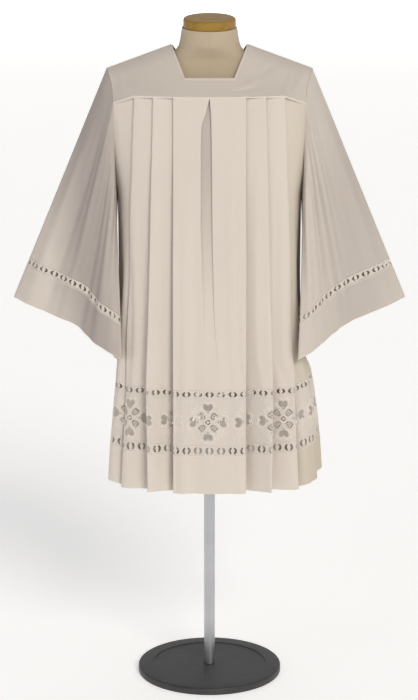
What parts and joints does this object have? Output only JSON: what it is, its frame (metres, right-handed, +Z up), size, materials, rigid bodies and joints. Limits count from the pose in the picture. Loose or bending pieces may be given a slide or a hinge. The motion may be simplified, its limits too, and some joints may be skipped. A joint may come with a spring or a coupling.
{
  "type": "surplice on dress form",
  "caption": "White pleated surplice with square yoke neck, wide sleeves and openwork lace bands, on a limbless linen dress form with a round stand.",
  "frame": {"origin": "centre of the stand base's underside, on the floor", "axes": "+Z up, front towards -Y, +X to the viewer's right as seen from the front"},
  "size_m": [0.877, 0.33, 1.5071],
  "materials": {
    "lawn": "matte white cotton lawn",
    "lace": "matte cotton lace and insertion",
    "linen": "natural linen cover",
    "wood": "satin varnish",
    "steel": "brushed",
    "paint": "satin black"
  },
  "bodies": {
    "root": {"yoke_front": "lawn", "yoke_seam_front": "lace", "front_panel_left": "lawn", "front_panel_right": "lawn", "insertion_upper_front": "lace", "lace_band_front": "lace", "insertion_lower_front": "lace", "hem_band_front": "lawn", "yoke_back": "lawn", "yoke_seam_back": "lace", "back_panel_left": "lawn", "back_panel_right": "lawn", "insertion_upper_back": "lace", "lace_band_back": "lace", "insertion_lower_back": "lace", "hem_band_back": "lawn", "neck_binding": "lace", "sleeve_left": "lawn", "sleeve_insertion_left_front": "lace", "sleeve_insertion_left_back": "lace", "sleeve_hem_left": "lawn", "sleeve_right": "lawn", "sleeve_insertion_right_front": "lace", "sleeve_insertion_right_back": "lace", "sleeve_hem_right": "lawn", "form_body": "linen", "form_neck_cap": "wood", "stand_pole": "steel", "stand_base": "paint"}
  },
  "joints": []
}
